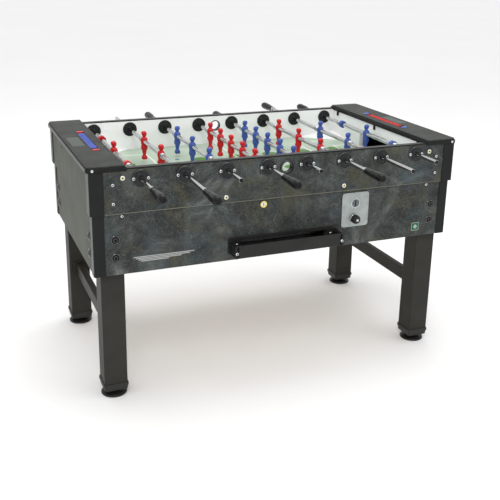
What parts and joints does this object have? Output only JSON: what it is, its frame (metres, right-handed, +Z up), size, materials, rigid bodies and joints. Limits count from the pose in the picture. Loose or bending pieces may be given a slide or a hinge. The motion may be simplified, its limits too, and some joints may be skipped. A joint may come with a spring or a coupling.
{
  "type": "foosball table",
  "caption": "Table football game on four legs: rods with moulded figures slide and spin over a walled field, with goal boards, ball tray and coin unit.",
  "frame": {"origin": "on the floor under the middle of the table", "axes": "+X along the table's length, +Y away from the side with the coin unit and ball tray, +Z up"},
  "size_m": [1.408, 1.4262, 0.851],
  "materials": {
    "stone_laminate": "satin mottled slate laminate on board",
    "olive_laminate": "satin",
    "board_core": "plain",
    "black_profile": "satin",
    "brown_steel": "satin powder coat",
    "black_moulding": "fine grain",
    "black_steel": "satin",
    "zinc_steel": "satin",
    "brushed_plate": "brushed",
    "chrome": "polished",
    "brass": "polished",
    "white_laminate": "satin",
    "green_field": "satin",
    "dark_board": "satin with polished edge",
    "red_plastic": "gloss",
    "blue_plastic": "gloss",
    "rod_chrome": "polished",
    "grip_rubber": "fine grain",
    "spring_steel": "bright drawn wire"
  },
  "bodies": {
    "base": {"lower_side_panels": "stone_laminate", "lower_end_panels": "olive_laminate", "cabinet_floor": "board_core", "lower_corner_profiles": "black_profile", "leg_frames": "brown_steel", "leg_boots": "black_moulding", "levelling_feet": "black_moulding", "leg_bolts": "black_steel", "ball_tray": "black_steel", "base_screws": "zinc_steel", "coin_unit": "brushed_plate", "ball_ramp": "board_core", "hinge_blocks": "black_steel"},
    "coin_knob": {"coin_knob": "chrome"},
    "ball_gate": {"ball_gate": "zinc_steel"},
    "cabinet_lock": {"cabinet_lock": "brass"},
    "play_box": {"side_walls": "stone_laminate", "upper_end_panels": "olive_laminate", "goal_walls": "white_laminate", "playfield": "green_field", "corner_ramps": "white_laminate", "upper_corner_profiles": "black_profile", "score_boards": "dark_board", "rod_bearings": "black_moulding", "play_box_screws": "zinc_steel", "hinge_leaves": "black_steel"},
    "blue_beads": {"blue_beads": "blue_plastic"},
    "red_beads": {"red_beads": "red_plastic"},
    "rod_1_slide": {"buffers_1": "spring_steel"},
    "rod_1": {"rod_1": "rod_chrome", "men_1": "red_plastic", "grip_1": "grip_rubber"},
    "rod_2_slide": {"buffers_2": "spring_steel"},
    "rod_2": {"rod_2": "rod_chrome", "men_2": "red_plastic", "grip_2": "grip_rubber"},
    "rod_3_slide": {"buffers_3": "spring_steel"},
    "rod_3": {"rod_3": "rod_chrome", "men_3": "blue_plastic", "grip_3": "grip_rubber"},
    "rod_4_slide": {"buffers_4": "spring_steel"},
    "rod_4": {"rod_4": "rod_chrome", "men_4": "red_plastic", "grip_4": "grip_rubber"},
    "rod_5_slide": {"buffers_5": "spring_steel"},
    "rod_5": {"rod_5": "rod_chrome", "men_5": "blue_plastic", "grip_5": "grip_rubber"},
    "rod_6_slide": {"buffers_6": "spring_steel"},
    "rod_6": {"rod_6": "rod_chrome", "men_6": "red_plastic", "grip_6": "grip_rubber"},
    "rod_7_slide": {"buffers_7": "spring_steel"},
    "rod_7": {"rod_7": "rod_chrome", "men_7": "blue_plastic", "grip_7": "grip_rubber"},
    "rod_8_slide": {"buffers_8": "spring_steel"},
    "rod_8": {"rod_8": "rod_chrome", "men_8": "blue_plastic", "grip_8": "grip_rubber"}
  },
  "joints": [
    {"name": "play_box_hinge", "type": "hinge", "parent": "base", "child": "play_box", "pos_m": [0, 0.391, 0.684], "axis": [-1, 0, 0], "range_deg": [0, 55]},
    {"name": "coin_knob_turn", "type": "hinge", "parent": "base", "child": "coin_knob", "pos_m": [0.283, -0.38, 0.571], "axis": [0, 1, 0], "range_deg": [0, 90], "stiffness_Nm_per_rad": 0.05},
    {"name": "ball_gate_swing", "type": "hinge", "parent": "base", "child": "ball_gate", "pos_m": [0, -0.304, 0.54663], "axis": [-1, 0, 0], "range_deg": [0, 80]},
    {"name": "cabinet_lock_turn", "type": "hinge", "parent": "base", "child": "cabinet_lock", "pos_m": [-0.085, -0.376, 0.664], "axis": [0, -1, 0], "range_deg": [0, 90]},
    {"name": "blue_beads_slide", "type": "slide", "parent": "play_box", "child": "blue_beads", "axis": [0, 1, 0], "range_m": [-0.024, 0.016]},
    {"name": "red_beads_slide", "type": "slide", "parent": "play_box", "child": "red_beads", "axis": [0, 1, 0], "range_m": [-0.024, 0.016]},
    {"name": "rod_1_push", "type": "slide", "parent": "play_box", "child": "rod_1_slide", "axis": [0, 1, 0], "range_m": [-0.1206, 0.1206]},
    {"name": "rod_1_spin", "type": "hinge", "parent": "rod_1_slide", "child": "rod_1", "pos_m": [-0.525, 0, 0.8], "axis": [0, -1, 0], "range_deg": [-30, 205]},
    {"name": "rod_2_push", "type": "slide", "parent": "play_box", "child": "rod_2_slide", "axis": [0, 1, 0], "range_m": [-0.2191, 0.1871]},
    {"name": "rod_2_spin", "type": "hinge", "parent": "rod_2_slide", "child": "rod_2", "pos_m": [-0.375, 0, 0.8], "axis": [0, 1, 0], "continuous": true},
    {"name": "rod_3_push", "type": "slide", "parent": "play_box", "child": "rod_3_slide", "axis": [0, 1, 0], "range_m": [-0.1206, 0.1366]},
    {"name": "rod_3_spin", "type": "hinge", "parent": "rod_3_slide", "child": "rod_3", "pos_m": [-0.225, 0, 0.8], "axis": [0, 1, 0], "continuous": true},
    {"name": "rod_4_push", "type": "slide", "parent": "play_box", "child": "rod_4_slide", "axis": [0, 1, 0], "range_m": [-0.0566, 0.1106]},
    {"name": "rod_4_spin", "type": "hinge", "parent": "rod_4_slide", "child": "rod_4", "pos_m": [-0.075, 0, 0.8], "axis": [0, 1, 0], "continuous": true},
    {"name": "rod_5_push", "type": "slide", "parent": "play_box", "child": "rod_5_slide", "axis": [0, 1, 0], "range_m": [-0.0506, 0.1166]},
    {"name": "rod_5_spin", "type": "hinge", "parent": "rod_5_slide", "child": "rod_5", "pos_m": [0.075, 0, 0.8], "axis": [0, 1, 0], "continuous": true},
    {"name": "rod_6_push", "type": "slide", "parent": "play_box", "child": "rod_6_slide", "axis": [0, 1, 0], "range_m": [-0.1286, 0.1286]},
    {"name": "rod_6_spin", "type": "hinge", "parent": "rod_6_slide", "child": "rod_6", "pos_m": [0.225, 0, 0.8], "axis": [0, 1, 0], "continuous": true},
    {"name": "rod_7_push", "type": "slide", "parent": "play_box", "child": "rod_7_slide", "axis": [0, 1, 0], "range_m": [-0.1871, 0.2191]},
    {"name": "rod_7_spin", "type": "hinge", "parent": "rod_7_slide", "child": "rod_7", "pos_m": [0.375, 0, 0.8], "axis": [0, 1, 0], "continuous": true},
    {"name": "rod_8_push", "type": "slide", "parent": "play_box", "child": "rod_8_slide", "axis": [0, 1, 0], "range_m": [-0.1016, 0.1396]},
    {"name": "rod_8_spin", "type": "hinge", "parent": "rod_8_slide", "child": "rod_8", "pos_m": [0.525, 0, 0.8], "axis": [0, 1, 0], "range_deg": [-30, 205]}
  ],
  "couplings": [
    {"joint": "ball_gate_swing", "follows": "coin_knob_turn", "ratio": 0.88}
  ]
}
